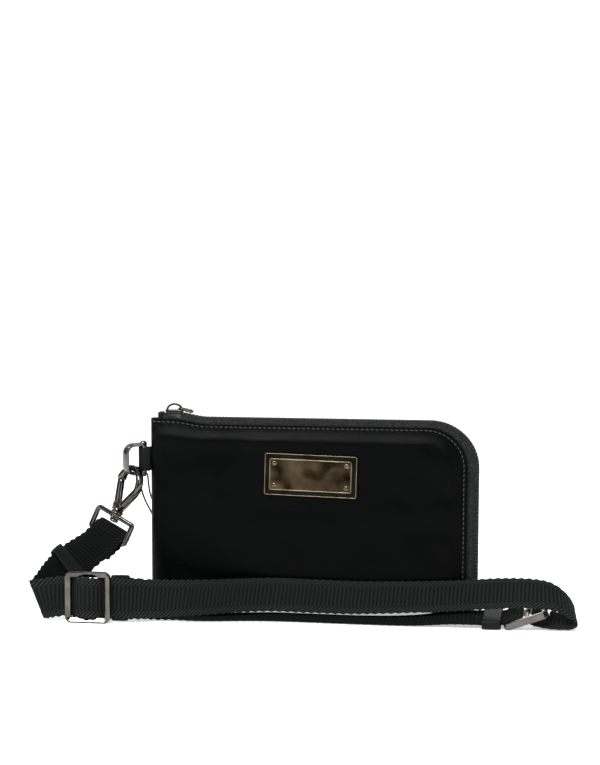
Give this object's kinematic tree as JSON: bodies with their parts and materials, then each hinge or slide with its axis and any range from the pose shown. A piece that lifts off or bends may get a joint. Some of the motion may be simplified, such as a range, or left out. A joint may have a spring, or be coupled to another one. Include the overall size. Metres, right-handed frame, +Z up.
{
  "type": "zippered pouch",
  "caption": "Flat zippered wristlet pouch with an L-shaped zip, riveted name plate, D-ring, snap hook and adjustable webbing strap lying in front.",
  "frame": {"origin": "centre of the pouch's flat bottom, where it stands", "axes": "+X right along the pouch, +Y from its front to its back, +Z up"},
  "size_m": [0.332, 0.0796, 0.1301],
  "materials": {
    "shell_nylon": "fine satin nylon weave",
    "lining_cloth": "plain weave",
    "zip_tape": "herringbone tape",
    "zip_teeth": "satin moulded",
    "leather": "fine grain, painted edges",
    "gunmetal": "polished dark nickel",
    "pale_gold": "polished",
    "webbing": "ribbed webbing with herringbone edges",
    "string": "twisted cord"
  },
  "bodies": {
    "pouch": {"back_panel": "shell_nylon", "front_panel_lower": "shell_nylon", "back_lining": "lining_cloth", "front_lining_lower": "lining_cloth", "bottom_gusset": "shell_nylon", "left_gusset": "shell_nylon", "slip_pocket": "lining_cloth", "zip_tape_back": "zip_tape", "zip_tape_front_ends": "zip_tape", "zip_teeth_back": "zip_teeth", "zip_teeth_front_ends": "zip_teeth", "zip_end_stops": "zip_teeth", "zip_end_tab": "leather", "ring_tab": "leather", "tag_string": "string"},
    "front_flap": {"front_panel_flap": "shell_nylon", "front_lining_flap": "lining_cloth", "zip_tape_front": "zip_tape", "zip_teeth_front": "zip_teeth", "nameplate_frame": "gunmetal", "nameplate": "pale_gold", "nameplate_rivets": "pale_gold"},
    "zip_slider": {"slider_body": "gunmetal"},
    "zip_pull": {"slider_pull": "gunmetal"},
    "d_ring": {"d_ring": "gunmetal"},
    "hook": {"hook_body": "gunmetal", "gate_pin": "gunmetal", "gate_spring": "gunmetal"},
    "gate": {"hook_gate": "gunmetal"},
    "eye": {"webbing_eye": "gunmetal"},
    "tail": {"strap_tail": "webbing"},
    "tail_keeper": {"tail_keeper": "leather"},
    "strap_loop": {"strap_front_run": "webbing", "strap_under_run": "webbing", "bar_cover": "leather"},
    "under_keeper": {"under_keeper": "leather"},
    "left_slide": {"left_slide_frame": "gunmetal", "left_slide_post": "gunmetal"},
    "right_slide": {"right_slide_frame": "gunmetal", "right_slide_post": "gunmetal"}
  },
  "joints": [
    {"name": "mouth_open", "type": "hinge", "parent": "pouch", "child": "front_flap", "pos_m": [-0.103, -0.0075, 0.116], "axis": [0.8517, 0, -0.5241], "range_deg": [0, 30]},
    {"name": "zipper_slide", "type": "slide", "parent": "pouch", "child": "zip_slider", "axis": [1, 0, 0], "range_m": [0, 0.15]},
    {"name": "pull_swing", "type": "hinge", "parent": "zip_slider", "child": "zip_pull", "pos_m": [-0.087, 0, 0.1262], "axis": [0, 1, 0], "range_deg": [-125, 0]},
    {"name": "d_ring_swing", "type": "hinge", "parent": "pouch", "child": "d_ring", "pos_m": [-0.111, 0, 0.094], "axis": [0, 0, 1], "range_deg": [-60, 0]},
    {"name": "hook_swing", "type": "hinge", "parent": "d_ring", "child": "hook", "pos_m": [-0.11636, -0.0045, 0.0848], "axis": [0.766, 0.6428, 0], "range_deg": [-50, 0]},
    {"name": "gate_open", "type": "hinge", "parent": "hook", "child": "gate", "pos_m": [-0.12668, -0.00516, 0.06382], "axis": [0.646, 0.7071, -0.2876], "range_deg": [0, 22], "stiffness_Nm_per_rad": 0.02, "springref_deg": -20.05},
    {"name": "eye_swivel", "type": "hinge", "parent": "hook", "child": "eye", "pos_m": [-0.1289, -0.007, 0.0543], "axis": [0.4067, 0, 0.9135], "range_deg": [-60, 0]},
    {"name": "tail_pivot", "type": "hinge", "parent": "eye", "child": "tail", "pos_m": [-0.13305, -0.007, 0.04498], "axis": [0.8585, -0.342, -0.3822], "range_deg": [0, 15]},
    {"name": "tail_keeper_slide", "type": "slide", "parent": "tail", "child": "tail_keeper", "axis": [-0.4458, -0.7671, -0.4614], "range_m": [-0.004, 0.004]},
    {"name": "strap_fold", "type": "hinge", "parent": "tail", "child": "strap_loop", "pos_m": [-0.16385, -0.06, 0.0131], "axis": [0.3609, 0, -0.9326], "range_deg": [0, 45]},
    {"name": "under_keeper_slide", "type": "slide", "parent": "strap_loop", "child": "under_keeper", "axis": [1, 0, 0], "range_m": [-0.012, 0]},
    {"name": "left_slide_tilt", "type": "hinge", "parent": "strap_loop", "child": "left_slide", "pos_m": [-0.131, -0.0642, 0.01585], "axis": [0, 0, 1], "range_deg": [-3, 3]},
    {"name": "right_slide_tilt", "type": "hinge", "parent": "strap_loop", "child": "right_slide", "pos_m": [0.13586, -0.0317, 0.00594], "axis": [0, 1, 0], "range_deg": [-3, 3]}
  ]
}
